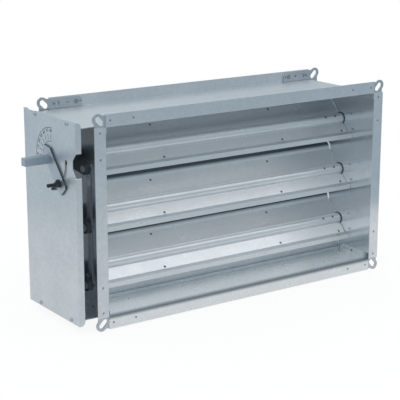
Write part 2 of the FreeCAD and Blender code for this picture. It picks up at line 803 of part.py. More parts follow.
def main():
    """Build every piece and write one file per piece."""
    build_casing()
    for index in range(blade_count):
        build_blade(index)
    build_link()
    build_shelves()
    build_side_panel()
    build_lever()
    os.makedirs("parts", exist_ok=True)
    for name, solid in parts.items():
        solid.exportStep("parts/%s.step" % name)
        print(name, len(solid.Solids), round(solid.Volume / 1000, 2), solid.isValid())


main()
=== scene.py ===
import json
import math

import bmesh
import bpy
from mathutils import Matrix, Vector


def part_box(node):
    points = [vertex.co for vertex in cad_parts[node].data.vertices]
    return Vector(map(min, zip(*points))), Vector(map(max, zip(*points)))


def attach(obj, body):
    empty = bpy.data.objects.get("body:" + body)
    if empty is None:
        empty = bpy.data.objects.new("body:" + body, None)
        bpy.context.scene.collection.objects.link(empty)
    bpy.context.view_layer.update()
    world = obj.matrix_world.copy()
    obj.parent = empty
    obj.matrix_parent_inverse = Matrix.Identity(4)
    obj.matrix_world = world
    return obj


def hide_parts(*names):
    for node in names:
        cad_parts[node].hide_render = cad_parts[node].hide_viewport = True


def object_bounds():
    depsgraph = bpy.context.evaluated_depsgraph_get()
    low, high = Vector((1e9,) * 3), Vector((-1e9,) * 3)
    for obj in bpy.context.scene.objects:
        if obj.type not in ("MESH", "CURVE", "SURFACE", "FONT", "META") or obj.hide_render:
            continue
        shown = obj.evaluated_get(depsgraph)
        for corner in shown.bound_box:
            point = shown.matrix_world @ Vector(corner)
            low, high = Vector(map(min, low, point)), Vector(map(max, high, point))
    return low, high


# A regulating damper for rectangular ducts, in galvanised steel: three blades
# in a flanged casing, turned together by a hand lever on the left side panel.
# Places are in metres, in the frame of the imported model: X across, Y through
# the duct, Z up. Sizes of details are in millimetres, and MM turns them to metres.

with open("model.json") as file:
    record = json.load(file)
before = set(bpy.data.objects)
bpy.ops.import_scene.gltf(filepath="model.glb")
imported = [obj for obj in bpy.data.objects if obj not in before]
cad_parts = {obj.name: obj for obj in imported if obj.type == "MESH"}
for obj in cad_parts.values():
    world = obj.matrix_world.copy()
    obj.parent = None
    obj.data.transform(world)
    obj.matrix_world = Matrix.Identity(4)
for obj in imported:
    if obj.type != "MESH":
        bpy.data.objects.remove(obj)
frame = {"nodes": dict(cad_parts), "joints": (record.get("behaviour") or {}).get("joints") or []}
cad_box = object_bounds()
nodes = frame["nodes"]
joints = {joint["name"]: joint for joint in frame["joints"]}

MM = 0.001
to_left = Vector((-1, 0, 0))
to_right = Vector((1, 0, 0))
to_rear = Vector((0, 1, 0))
to_top = Vector((0, 0, 1))

# Casing and blades, as in the solids: the casing's sheet, the hem behind each blade's upper lip,
# and the clips on the shafts' right ends
casing_sheet = 1.2
hem_length = 6.8
clip_radius = 11.0
blade_names = ["blade_1", "blade_2", "blade_3"]

# Places taken from the frame; the third blade's clip hangs two pitches below the drive shaft
panel_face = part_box("side_panel")[0].x
shaft_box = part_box("drive_shaft")
shaft_y = (shaft_box[0].y + shaft_box[1].y) / 2
shaft_z = (shaft_box[0].z + shaft_box[1].z) / 2
blade_pitch = (shaft_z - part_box("blade_3_end_clip")[0].z - clip_radius * MM) / 2
fold_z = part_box("duct_left_wall")[0].z + casing_sheet * MM

# The way that a blade's front skin faces at rest, and the way from its shaft to its upper lip.
# The blades lie level at the joint's lower limit.
blade_tilt = math.radians(-joints["blade_1_turn"]["range_deg"][0])
blade_face = Vector((0, -math.sin(blade_tilt), math.cos(blade_tilt)))
blade_chord = blade_face.cross(to_right)

# The camera, from the vanishing lines of the flanges and walls
camera_place = Vector((-1.2098, -1.5972, 0.5138))
camera_yaw = 0.608
camera_pitch = 0.252
camera_lens = 113.1
sensor_width = 36.0

# Zinc's patterns: crystal cells, rolling streaks, soft clouds, and the coating's grain.
# Streaks and grain are drawn coarser than the real ones, so that they show.
spangle_size = 5.0
spangle_warp = 0.5
streak_width = 2.5
streak_stretch = 40
cloud_size = 55.0
zinc_grain = 1.4
zinc_grain_depth = 0.012

# Moulded plastic's patterns and roughness
fibre_size = 8.0
mould_grain = 0.8
mould_grain_depth = 0.03
mould_edge = 0.7
mould_smooth = 0.38
mould_rough = 0.55

# The patches in which the dial's ink is worn
ink_wear = 6.0

# Samples of the shading that rounds an edge
bevel_samples = 6

# The strip of painted shade, also rougher, on the floor sheet's front fold: its reach along the floor and
# down the flange
fold_shade_floor = 18.0
fold_shade_flange = 6.5
fold_roughening = 0.15

# How far the hem's painted shade reaches before the hem, and how squarely a face must look forwards for all
# of it
hem_shade = 4.5
hem_facing = 0.3

# A plate's face counts as a painted-shade edge up to the first part of its normal along X, and as unshaded
# from the second
edge_facing = 0.2
unshaded_facing = 0.6

# Corners this close, in metres, are one corner of a solid
weld_distance = 1e-6

# Turned pieces: the sides of a round, and the radius at which an outline stops short of its axis
turned_sides = 20
pole_radius = 0.1

# Blind rivets: a low dome at each end of the shank, and the mandrel's hole in the outer one
rivet_shank = 1.2
rivet_rise = 0.6
rivet_rim = 0.15
mandrel_hole = 0.65
mandrel_depth = 0.4
mandrel_taper = 0.9
dome_steps = 5

# Pan-head screws with a cross recess
screw_shank = 1.9
screw_length = 7.2
screw_point = 1.0
screw_point_radius = 0.8
screw_head_radius = 3.6
screw_head_height = 1.8
screw_head_rim = 0.6
recess_width = 1.1
recess_length = 4.2
recess_depth = 1.3

# The crown of the screw's head as shares of its radius and rise,
# and the recess as shares of its width and depth
screw_crown = ((0.95, 0.45), (0.84, 0.75), (0.68, 0.95))
recess_taper = ((1.0, 0.0), (0.9, 0.5), (0.55, 1.0))

# The clamp bolt: its tip tapers over the lead, and the hexagon keeps a little inside the solid's head
bolt_radius = 3.0
bolt_tip_share = 0.72
bolt_lead = 1.2
thread_pitch = 1.0
thread_depth = 0.55
thread_rows = 6
thread_sides = 24
bolt_head = 3.0
hexagon_share = 0.93
chamfer_share = 0.9
front_chamfer = 0.4
back_chamfer = 0.5

# The wing nut: its hub as (radius, height), and its wings from the root in the hub to a round tip
nut_bore = 3.15
hub_sides = 28
hub_outline = ((5.3, 0.0), (5.4, 0.5), (5.1, 3.0), (4.6, 7.2), (4.2, 7.9))
wing_root = 3.9
wing_root_height = 3.6
wing_tip_drop = 2.6
wing_tip_gap = 0.2
wing_half_width = 2.9
wing_bulge = 0.5
wing_half_thickness = 1.5
wing_thinning = 0.45
wing_lean = 0.5
wing_spread_power = 1.25
wing_rise_power = 1.15
wing_round_start = 0.72
wing_tip_width = 0.12
wing_tip_thickness = 0.25
wing_steps = 14
wing_sides = 16

# The dial on the side panel, from the shaft's axis
dial_inner = 27.0
dial_outer = 48.3
tick_start = 29.5
tick_end = 38.5
numeral_radius = 43.4
numeral_height = 5.2
numeral_weight = 0.05
font_size_share = 1.4
mark_width = 0.9
mark_depth = 0.12
dial_step = 15
dial_stop = 90
dial_overrun = 5.0
dial_arc_steps = 36

# The floor: its radius in metres, and how much it glows to the camera and in the metal
floor_radius = 0.75
floor_sides = 96
floor_gap = 0.3
floor_glow_share = 0.85
floor_glow_mirrored = 0.78
floor_glow_seen = 1.03

# The studio's walls in the metal, as parts of a ray's direction: they brighten with its height, and
# a pale backdrop stands low behind the damper, brighter to the right
walls_dark = 0.1
walls_bright = 0.75
backdrop_full = -0.02
backdrop_top = 0.08
backdrop_side = 0.0
backdrop_rear = 0.5
backdrop_left = -0.3
backdrop_right = 0.3


# Materials


def linear(hex_colour):
    """An sRGB hex colour as the linear values that a shader takes."""
    values = [int(hex_colour[i:i + 2], 16) / 255 for i in (1, 3, 5)]
    curve = [v / 12.92 if v <= 0.04045 else ((v + 0.055) / 1.055) ** 2.4 for v in values]
    return curve + [1.0]


def add_node(tree, kind, inputs=None, **settings):
    """Add one node with its settings; an input is a value, or a socket that it is linked to."""
    made = tree.nodes.new(kind)
    for key, value in settings.items():
        setattr(made, key, value)
    for key, value in (inputs or {}).items():
        if isinstance(value, bpy.types.NodeSocket):
            tree.links.new(value, made.inputs[key])
        else:
            made.inputs[key].default_value = value
    return made


def empty_material(name):
    """A node material with only its output, and that output."""
    material = bpy.data.materials.new(name)
    material.use_nodes = True
    tree = material.node_tree
    tree.nodes.clear()
    return material, tree, add_node(tree, "ShaderNodeOutputMaterial")


def per_mm(size):
    """A texture scale whose pattern repeats about every so many millimetres."""
    return 1 / (size * MM)


def weighed(tree, parts):
    """0.5 plus each pattern's share: the parts are (socket, share), and each pattern runs from 0 to 1."""
    base = 0.5 - sum(share for _, share in parts) / 2
    for socket, share in parts:
        total = add_node(tree, "ShaderNodeMath", {0: socket, 1: share, 2: base}, operation="MULTIPLY_ADD")
        base = total.outputs[0]
    return base


def zinc_patterns(tree, place):
    """Zinc's three patterns: crystal cells, rolling streaks along X and soft clouds."""
    warp = add_node(tree, "ShaderNodeTexNoise",
                    {"Vector": place, "Scale": per_mm(spangle_size), "Detail": 2.0})
    bent = add_node(tree, "ShaderNodeVectorMath",
                    {0: warp.outputs["Color"], 1: (spangle_size * MM * spangle_warp,) * 3, 2: place},
                    operation="MULTIPLY_ADD")
    cells = add_node(tree, "ShaderNodeTexVoronoi",
                     {"Vector": bent.outputs[0], "Scale": per_mm(spangle_size)})
    shade = add_node(tree, "ShaderNodeSeparateColor", {0: cells.outputs["Color"]})
    across = per_mm(streak_width)
    along = add_node(tree, "ShaderNodeVectorMath",
                     {0: place, 1: (per_mm(streak_width * streak_stretch), across, across)},
                     operation="MULTIPLY")
    lines = add_node(tree, "ShaderNodeTexNoise",
                     {"Vector": along.outputs[0], "Scale": 1.0, "Detail": 3.0})
    clouds = add_node(tree, "ShaderNodeTexNoise",
                      {"Vector": place, "Scale": per_mm(cloud_size), "Detail": 3.0})
    return shade.outputs[0], lines.outputs[0], clouds.outputs[0]


def grained_surface(tree, output, place, colour, gloss, metallic, grain, detail, depth, edge):
    """The skin that metals and mouldings share: a fine grain, and edges that catch the light as rounded."""
    specks = add_node(tree, "ShaderNodeTexNoise",
                      {"Vector": place, "Scale": per_mm(grain), "Detail": detail})
    rounded = add_node(tree, "ShaderNodeBevel", {"Radius": edge * MM}, samples=bevel_samples)
    bump = add_node(tree, "ShaderNodeBump",
                    {"Height": specks.outputs[0], "Strength": 1.0, "Distance": depth * MM,
                     "Normal": rounded.outputs[0]})
    shader = add_node(tree, "ShaderNodeBsdfPrincipled",
                      {"Base Color": colour, "Metallic": metallic, "Roughness": gloss,
                       "Normal": bump.outputs[0]})
    tree.links.new(shader.outputs[0], output.inputs[0])


def metal(name, dark, light, smooth, rough, shares=(0.35, 0.2, 0.9), edge=0.9, metallic=0.75,
          painted_shade=None, hem=None, edge_shade=None):
    """A zinc-coated or plain steel finish, whose colour and gloss vary together.

    The shares are those of cells, streaks and clouds. Painted shade darkens and roughens a strip on the
    floor's front fold, and also darkens the strip behind each blade's upper lip and a plate's edges.
    """
    material, tree, output = empty_material(name)
    place = add_node(tree, "ShaderNodeTexCoord").outputs["Object"]
    tone = weighed(tree, list(zip(zinc_patterns(tree, place), shares)))
    colour = add_node(tree, "ShaderNodeMix", {0: tone, 6: linear(dark), 7: linear(light)},
                      data_type="RGBA").outputs[2]
    gloss = add_node(tree, "ShaderNodeMapRange", {"Value": tone, 3: rough, 4: smooth}).outputs[0]
    if painted_shade:
        colour, gloss = dull_fold(tree, place, colour, gloss, painted_shade)
    if hem:
        colour = dark_hem(tree, place, colour, hem)
    if edge_shade:
        colour = dark_edges(tree, colour, edge_shade)
    grained_surface(tree, output, place, colour, gloss, metallic, zinc_grain, 4.0, zinc_grain_depth, edge)
    return material


def dull_fold(tree, place, colour, gloss, painted_shade):
    """A strip of painted shade, also rougher, centred on the floor sheet's front fold, fading along the
    floor and down the flange.
    """
    axes = add_node(tree, "ShaderNodeSeparateXYZ", {0: place})
    along = add_node(tree, "ShaderNodeMapRange",
                     {"Value": axes.outputs["Y"], 1: 0.0, 2: fold_shade_floor * MM},
                     interpolation_type="SMOOTHSTEP")
    down = add_node(tree, "ShaderNodeMapRange",
                    {"Value": axes.outputs["Z"], 1: fold_z - fold_shade_flange * MM, 2: fold_z,
                     3: 1.0, 4: 0.0},
                    interpolation_type="SMOOTHSTEP")
    away = add_node(tree, "ShaderNodeMath", {0: along.outputs[0], 1: down.outputs[0]}, operation="MAXIMUM")
    inside = add_node(tree, "ShaderNodeMath", {0: 1.0, 1: away.outputs[0]}, operation="SUBTRACT").outputs[0]
    fold_shaded = add_node(tree, "ShaderNodeMix", {0: inside, 6: colour, 7: linear(painted_shade)}, data_type="RGBA")
    rougher = add_node(tree, "ShaderNodeMath", {0: inside, 1: fold_roughening, 2: gloss},
                       operation="MULTIPLY_ADD")
    return fold_shaded.outputs[2], rougher.outputs[0]


def dark_edges(tree, colour, painted_shade):
    """Painted shade on the edges round a plate whose plated faces look along X, darkened to stand for their
    shadowed line.
    """
    normal = add_node(tree, "ShaderNodeTexCoord").outputs["Normal"]
    across = add_node(tree, "ShaderNodeSeparateXYZ", {0: normal}).outputs["X"]
    facing = add_node(tree, "ShaderNodeMath", {0: across}, operation="ABSOLUTE").outputs[0]
    edge = add_node(tree, "ShaderNodeMapRange",
                    {"Value": facing, 1: edge_facing, 2: unshaded_facing, 3: 1.0, 4: 0.0})
    return add_node(tree, "ShaderNodeMix", {0: edge.outputs[0], 6: colour, 7: linear(painted_shade)},
                    data_type="RGBA").outputs[2]


def dark_hem(tree, place, colour, painted_shade):
    """Painted shade on the hem behind each blade's upper lip, which lies in the shadow of the blade above.

    It is the dark line between the blades. The reach is measured from each blade's shaft towards
    its upper lip, and only the side that faces the front is dark.
    """
    axes = add_node(tree, "ShaderNodeSeparateXYZ", {0: place})
    level = add_node(tree, "ShaderNodeMath",
                     {0: axes.outputs["Z"], 1: shaft_z + blade_pitch / 2, 2: shaft_z - blade_pitch / 2},
                     operation="WRAP")
    rise = add_node(tree, "ShaderNodeMath",
                    {0: level.outputs[0], 1: blade_chord.z,
                     2: -shaft_z * blade_chord.z - shaft_y * blade_chord.y},
                    operation="MULTIPLY_ADD")
    reach = add_node(tree, "ShaderNodeMath", {0: axes.outputs["Y"], 1: blade_chord.y, 2: rise.outputs[0]},
                     operation="MULTIPLY_ADD")
    shaft = Vector((0, shaft_y, shaft_z))
    tip = extent([vert.co - shaft for vert in nodes["blade_1_front_skin"].data.vertices], blade_chord)[1]
    past = add_node(tree, "ShaderNodeMapRange",
                    {"Value": reach.outputs[0], 1: tip - (hem_length + hem_shade) * MM,
                     2: tip - hem_length * MM})
    facing = add_node(tree, "ShaderNodeVectorMath",
                      {0: add_node(tree, "ShaderNodeTexCoord").outputs["Normal"], 1: blade_face},
                      operation="DOT_PRODUCT")
    front = add_node(tree, "ShaderNodeMapRange",
                     {"Value": facing.outputs["Value"], 1: 0.0, 2: hem_facing})
    inside = add_node(tree, "ShaderNodeMath", {0: past.outputs[0], 1: front.outputs[0]},
                      operation="MULTIPLY")
    return add_node(tree, "ShaderNodeMix", {0: inside.outputs[0], 6: colour, 7: linear(painted_shade)},
                    data_type="RGBA").outputs[2]


def moulded(name, dark, light):
    """A moulded plastic with a fine eroded grain and rounded edges."""
    material, tree, output = empty_material(name)
    place = add_node(tree, "ShaderNodeTexCoord").outputs["Object"]
    fibres = add_node(tree, "ShaderNodeTexNoise",
                      {"Vector": place, "Scale": per_mm(fibre_size), "Detail": 5.0}).outputs[0]
    colour = add_node(tree, "ShaderNodeMix", {0: fibres, 6: linear(dark), 7: linear(light)},
                      data_type="RGBA").outputs[2]
    gloss = add_node(tree, "ShaderNodeMapRange", {"Value": fibres, 3: mould_smooth, 4: mould_rough})
    grained_surface(tree, output, place, colour, gloss.outputs[0], 0.0, mould_grain, 3.0,
                    mould_grain_depth, mould_edge)
    return material


def galvanised_sheet():
    """Hot-dip galvanised sheet, minimised spangle: a pale blue-grey that is cloudy more than crystalline."""
    return metal("galvanised_sheet", "#C8D0D6", "#DCE2E6", 0.3, 0.42)


def galvanised_floor_sheet():
    """The same sheet on the duct's floor, painted brighter inside as a lit copy, with a grey strip of
    painted shade on its front fold.
    """
    # Its tones are painted light, brighter than the sheet; the fold's colour is painted shade
    return metal("galvanised_floor_sheet", "#E0E6E9", "#F0F3F5", 0.24, 0.34, metallic=0.7,
                 painted_shade="#7B8790")


def galvanised_side_sheet():
    """The right wall's sheet: smoother zinc, so it mirrors the blades softly, and painted brighter than
    outside as a lit copy.
    """
    # Its tones are painted light, brighter than the same sheet outside
    return metal("galvanised_side_sheet", "#D3DADF", "#E6EAED", 0.12, 0.2, metallic=0.85)


def blade_sheet():
    """Galvanised blade strip from a roll former: a brighter zinc with fine streaks along the blade."""
    # The hem's colour is painted shade: the dark line in the shadow of each blade above
    return metal("blade_sheet", "#DAE0E4", "#EBEEF1", 0.24, 0.36, shares=(0.2, 0.45, 0.7), hem="#4A545B")


def pressed_bracket():
    """Zinc-plated pressings for the corners: an even grey, a little darker than the sheet."""
    return metal("pressed_bracket", "#B2BBC2", "#C8D0D5", 0.32, 0.44, shares=(0.1, 0.1, 0.9))


def blue_zinc_plate():
    """Electroplated zinc with a blue passivation: smooth, cool and slightly violet."""
    return metal("blue_zinc_plate", "#AEB8C4", "#C9D1D9", 0.24, 0.36, shares=(0.0, 0.2, 1.0), edge=0.7,
                 metallic=0.9)


def lever_plate():
    """The lever's plated sheet steel, close in tone to the panel, with painted shade on its edges."""
    # The edge colour is painted shade on the plate's thin edges
    return metal("lever_plate", "#B4BEC6", "#CBD3D9", 0.28, 0.4, shares=(0.1, 0.1, 0.9), edge=0.3,
                 metallic=0.8, edge_shade="#4B565E")


def rivet_steel():
    """Zinc-coated steel rivets: small dull heads that read as grey dots."""
    return metal("rivet_steel", "#5A666E", "#7D8992", 0.32, 0.45, shares=(0.0, 0.0, 1.0), edge=0.3)


def dark_screw_steel():
    """Black-oxide steel on the clamp bolt and wing nut: nearly black, with soft highlights."""
    return metal("dark_screw_steel", "#2A3035", "#4A535A", 0.28, 0.42, shares=(0.0, 0.0, 1.0), edge=0.5)


def clinch_steel():
    """Flush clinch points and bracket rivets: zinc-coated and a shade darker than the sheet round them."""
    return metal("clinch_steel", "#7F8B94", "#A3ADB5", 0.3, 0.42, shares=(0.0, 0.0, 1.0), edge=0.3)


def grey_acetal():
    """Moulded grey acetal bushes in the walls: a soft dark grey with a fine grain."""
    return moulded("grey_acetal", "#4C565D", "#667079")


def moulded_nylon():
    """Injection-moulded black nylon with glass fibre: a satin black with a fine eroded grain."""
    return moulded("moulded_nylon", "#343B40", "#555E64")


def stamped_marks():
    """The dial's lines, stamped and inked: a flat slate grey with little shine."""
    material, tree, output = empty_material("stamped_marks")
    place = add_node(tree, "ShaderNodeTexCoord").outputs["Object"]
    wear = add_node(tree, "ShaderNodeTexNoise",
                    {"Vector": place, "Scale": per_mm(ink_wear), "Detail": 4.0})
    colour = add_node(tree, "ShaderNodeMix",
                      {0: wear.outputs[0], 6: linear("#36414A"), 7: linear("#59656E")}, data_type="RGBA")
    shader = add_node(tree, "ShaderNodeBsdfPrincipled", {"Base Color": colour.outputs[2], "Roughness": 0.6})
    tree.links.new(shader.outputs[0], output.inputs[0])
    return material


# Meshes


def new_piece(name, mesh_maker, body, material, replaced=()):
    """One piece of the damper from a bmesh that the maker fills; it rides on a body."""
    shape = bmesh.new()
    mesh_maker(shape)
    bmesh.ops.recalc_face_normals(shape, faces=shape.faces)
    mesh = bpy.data.meshes.new(name)
    shape.to_mesh(mesh)
    shape.free()
    mesh.materials.append(material)
    piece = bpy.data.objects.new(name, mesh)
    bpy.context.scene.collection.objects.link(piece)
    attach(piece, body)
    if replaced:
        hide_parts(*replaced)
    return piece


def smooth_by_angle(piece, degrees=35):
    """Shade the faces smooth and keep the edges sharper than this angle."""
    mesh = piece.data
    mesh.polygons.foreach_set("use_smooth", [True] * len(mesh.polygons))
    mesh.set_sharp_from_angle(angle=math.radians(degrees))
    return piece


def ring_of(shape, centre, side, up, radius, count):
    """A ring of vertices about a centre, in the plane of two directions."""
    angles = [2 * math.pi * i / count for i in range(count)]
    return [shape.verts.new(centre + side * (radius * math.cos(a)) + up * (radius * math.sin(a)))
            for a in angles]


def band(shape, low, high):
    """Quads between two rings."""
    count = len(low)
    for i in range(count):
        j = (i + 1) % count
        shape.faces.new((low[i], low[j], high[j], high[i]))


def skin_rings(shape, rings):
    """Quads between rings in a row, with a face over each end."""
    for low, high in zip(rings, rings[1:]):
        band(shape, low, high)
    shape.faces.new(rings[0][::-1])
    shape.faces.new(rings[-1])


def frame_about(axis):
    """Two directions square to an axis."""
    side = axis.orthogonal().normalized()
    return side, axis.cross(side).normalized()


def lathe(shape, profile, origin, axis):
    """A closed turned solid; the profile is (radius, place along the axis), never at radius 0."""
    side, up = frame_about(axis)
    skin_rings(shape, [ring_of(shape, origin + axis * (t * MM), side, up, r * MM, turned_sides)
                       for r, t in profile])


def middle_of(corners):
    """The mean place of some corners."""
    return sum(corners, Vector()) / len(corners)


def solids_of(name):
    """The corners of each separate solid in a CAD node, the solids in the order of their places."""
    shape = bmesh.new()
    shape.from_mesh(nodes[name].data)
    bmesh.ops.remove_doubles(shape, verts=shape.verts, dist=weld_distance)
    left = set(shape.verts)
    found = []
    while left:
        reached = [left.pop()]
        corners = []
        while reached:
            vert = reached.pop()
            corners.append(vert.co.copy())
            for edge in vert.link_edges:
                other = edge.other_vert(vert)
                if other in left:
                    left.remove(other)
                    reached.append(other)
        found.append(corners)
    shape.free()
    return sorted(found, key=lambda corners: tuple(round(v, 5) for v in middle_of(corners)))


def extent(corners, direction):
    """The lowest and highest place of some corners along a direction."""
    places = [corner.dot(direction) for corner in corners]
    return min(places), max(places)


def measured(corners, axis):
    """A round solid's centre, half length and radius, about a known axis."""
    side, up = frame_about(axis)
    spans = [extent(corners, direction) for direction in (side, up, axis)]
    middles = [(low + high) / 2 for low, high in spans]
    centre = side * middles[0] + up * middles[1] + axis * middles[2]
    return centre, (spans[2][1] - spans[2][0]) / 2 / MM, (spans[0][1] - spans[0][0]) / 2 / MM


# Rivets


def dome(radius, base):
    """The outline of a rivet's low domed head, from its rim to near its middle."""
    points = []
    for i in range(dome_steps):
        angle = math.pi / 2 * i / dome_steps
        rise = rivet_rim + (rivet_rise - rivet_rim) * math.sin(angle)
        points.append((radius * math.cos(angle), base + rise))
    return points


def rivet_profile(half, radius):
    """A blind rivet's outline: a plain dome below, a shank, and a dome with its mandrel hole above."""
    base = half - rivet_rise
    head = dome(radius, base)
    tail = [(r, -t) for r, t in reversed(head)]
    shank = [(radius, -base), (rivet_shank, -base), (rivet_shank, base), (radius, base)]
    bottom = half - mandrel_depth
    hole = [(mandrel_hole, half), (mandrel_hole * mandrel_taper, bottom), (pole_radius, bottom)]
    return [(pole_radius, -half)] + tail + shank + head + hole


def rivet_group(name, node, body, axis_of, material):
    """Blind rivets in the places of a CAD node's solids."""
    def fill(shape):
        for corners in solids_of(node):
            axis = axis_of(corners)
            centre, half, radius = measured(corners, axis)
            lathe(shape, rivet_profile(half, radius), centre, axis)
    return smooth_by_angle(new_piece(name, fill, body, material, [node]))


def casing_axis(corners):
    """A casing rivet points outwards: along X through the side walls, and along Z through top and bottom."""
    middle = middle_of(corners)
    across, upright = [high - low for low, high in (extent(corners, to_right), extent(corners, to_top))]
    if across < upright:
        return Vector((math.copysign(1, middle.x), 0, 0))
    return Vector((0, 0, math.copysign(1, middle.z)))


def build_rivets(material):
    """The rivets of the three blades and of the casing."""
    for blade in blade_names:
        rivet_group(blade + "_blind_rivets", blade + "_rivets", blade, lambda corners: blade_face, material)
    rivet_group("casing_blind_rivets", "casing_rivets", "casing", casing_axis, material)


# Screws, clamp bolt and wing nut


def cross_screw(shape, origin, axis):
    """A pan-head screw with a cross recess; its head starts at the origin and rises along the axis."""
    side, up = frame_about(axis)
    arm = recess_width / 2
    reach = recess_length / 2
    corners = []
    for quarter in range(4):
        a = quarter * math.pi / 2
        for r, t in ((reach, -arm), (reach, arm), (arm, arm)):
            corners.append((r * math.cos(a) - t * math.sin(a), r * math.sin(a) + t * math.cos(a)))

    def corner_ring(points, height):
        return [shape.verts.new(origin + (side * p + up * q + axis * height) * MM) for p, q in points]

    def cross_ring(share, height):
        return corner_ring([(p * share, q * share) for p, q in corners], height)

    def round_ring(radius, height):
        shares = [radius / math.hypot(p, q) for p, q in corners]
        return corner_ring([(p * share, q * share) for (p, q), share in zip(corners, shares)], height)

    rings = [round_ring(screw_point_radius, -screw_length),
             round_ring(screw_shank, screw_point - screw_length),
             round_ring(screw_shank, 0), round_ring(screw_head_radius, 0),
             round_ring(screw_head_radius, screw_head_rim)]
    crown_rise = screw_head_height - screw_head_rim
    rings += [round_ring(screw_head_radius * radius, screw_head_rim + crown_rise * rise)
              for radius, rise in screw_crown]
    rings += [cross_ring(width, screw_head_height - recess_depth * depth) for width, depth in recess_taper]
    skin_rings(shape, rings)


def build_screws(material):
    """The four screws of the side panel."""
    def fill(shape):
        for corners in solids_of("panel_screws"):
            centre, _, _ = measured(corners, to_left)
            cross_screw(shape, Vector((panel_face, centre.y, centre.z)), to_left)
    return smooth_by_angle(new_piece("panel_cross_screws", fill, "casing", material,
                                     ["panel_screws"]), degrees=30)


def build_clamp_bolt(material):
    """The clamp bolt: a chamfered hexagon head behind the panel, and a threaded shank outside."""
    low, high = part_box("clamp_bolt")
    tip = Vector((low.x, (low.y + high.y) / 2, (low.z + high.z) / 2))
    length = (high.x - low.x) / MM
    shank = length - bolt_head
    wide = (high.y - low.y) / 2 / MM * hexagon_share
    narrow = wide * chamfer_share

    def thread(shape):
        rings = []
        count = int(shank / thread_pitch * thread_rows)
        for i in range(count + 1):
            along = shank * i / count
            share = bolt_tip_share + (1 - bolt_tip_share) * min(1.0, along / bolt_lead)
            ring = []
            for j in range(thread_sides):
                phase = (along / thread_pitch - j / thread_sides) % 1
                ridge = abs(2 * phase - 1)
                r = (bolt_radius - thread_depth * ridge) * share
                a = 2 * math.pi * j / thread_sides
                place = to_right * along + to_rear * (r * math.cos(a)) + to_top * (r * math.sin(a))
                ring.append(shape.verts.new(tip + place * MM))
            rings.append(ring)
        skin_rings(shape, rings)

    def head(shape):
        outline = ((narrow, shank), (wide, shank + front_chamfer), (wide, length - back_chamfer),
                   (narrow, length))
        skin_rings(shape, [ring_of(shape, tip + to_right * (t * MM), to_rear, to_top, r * MM, 6)
                           for r, t in outline])

    def fill(shape):
        thread(shape)
        head(shape)
    return smooth_by_angle(new_piece("clamp_bolt_threaded", fill, "blade_1", material,
                                     ["clamp_bolt"]), degrees=50)


def build_wing_nut(material):
    """A cast wing nut: a tapered hub and two rounded wings that lean outwards."""
    low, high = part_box("wing_nut")
    bolt_low, bolt_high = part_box("clamp_bolt")
    axis = to_left
    centre = Vector((high.x, (bolt_low.y + bolt_high.y) / 2, (bolt_low.z + bolt_high.z) / 2))
    arms = [Vector((0, vert.co.y - centre.y, vert.co.z - centre.z))
            for vert in nodes["wing_nut"].data.vertices]
    farthest = max(arms, key=lambda arm: arm.length)
    out = farthest.normalized()
    flat = axis.cross(out)
    tip = farthest.length / MM - wing_tip_gap
    tip_height = (high.x - low.x) / MM - wing_tip_drop

    def hub(shape):
        outline = [(nut_bore, hub_outline[0][1])] + list(hub_outline) + [(nut_bore, hub_outline[-1][1])]
        rings = [ring_of(shape, centre + axis * (t * MM), flat, out, r * MM, hub_sides) for r, t in outline]
        for ring, following in zip(rings, rings[1:] + rings[:1]):
            band(shape, ring, following)

    def wing(shape, sign):
        lean = (axis - out * (sign * wing_lean)).normalized()
        rings = []
        for i in range(wing_steps + 1):
            t = i / wing_steps
            r = wing_root + (tip - wing_root) * (1 - (1 - t) ** wing_spread_power)
            h = wing_root_height + (tip_height - wing_root_height) * t ** wing_rise_power
            past = max(0.0, (t - wing_round_start) / (1 - wing_round_start))
            end = math.sqrt(max(0.0, 1 - past ** 2))
            wide = (wing_half_width + wing_bulge * math.sin(math.pi * t)) * max(end, wing_tip_width)
            thick = (wing_half_thickness - wing_thinning * t) * max(end, wing_tip_thickness)
            middle = centre + (out * (sign * r) + axis * h) * MM
            ring = []
            for j in range(wing_sides):
                a = 2 * math.pi * j / wing_sides
                place = lean * (wide * math.cos(a)) + flat * (thick * math.sin(a))
                ring.append(shape.verts.new(middle + place * MM))
            rings.append(ring)
        skin_rings(shape, rings)

    def fill(shape):
        hub(shape)
        wing(shape, 1)
        wing(shape, -1)
    return smooth_by_angle(new_piece("wing_nut_cast", fill, "wing_nut", material,
                                     ["wing_nut"]), degrees=50)


# The dial


def dial_point(radius, degrees, out=0.0):
    """A place on the side panel's face, from the shaft's axis; 0 degrees points rearwards."""
    a = math.radians(degrees)
    return Vector((panel_face - out * MM, shaft_y + radius * MM * math.cos(a),
                   shaft_z + radius * MM * math.sin(a)))


def dial_strip(shape, route):
    """A thin raised line on the panel through (inner radius, outer radius, degrees) stations."""
    rings = []
    for inner, outer, degrees in route:
        ring = [(inner, 0.0), (outer, 0.0), (outer, mark_depth), (inner, mark_depth)]
        rings.append([shape.verts.new(dial_point(radius, degrees, out)) for radius, out in ring])
    skin_rings(shape, rings)


def dial_arc(shape, radius):
    """One arc of the dial."""
    half = mark_width / 2
    sweep = dial_stop + 2 * dial_overrun
    dial_strip(shape, [(radius - half, radius + half, -dial_overrun + sweep * i / dial_arc_steps)
                       for i in range(dial_arc_steps + 1)])


def dial_tick(shape, degrees):
    """One radial line of the dial."""
    turn = math.degrees(mark_width / 2 / ((tick_start + tick_end) / 2))
    dial_strip(shape, [(tick_start, tick_end, degrees - turn), (tick_start, tick_end, degrees + turn)])


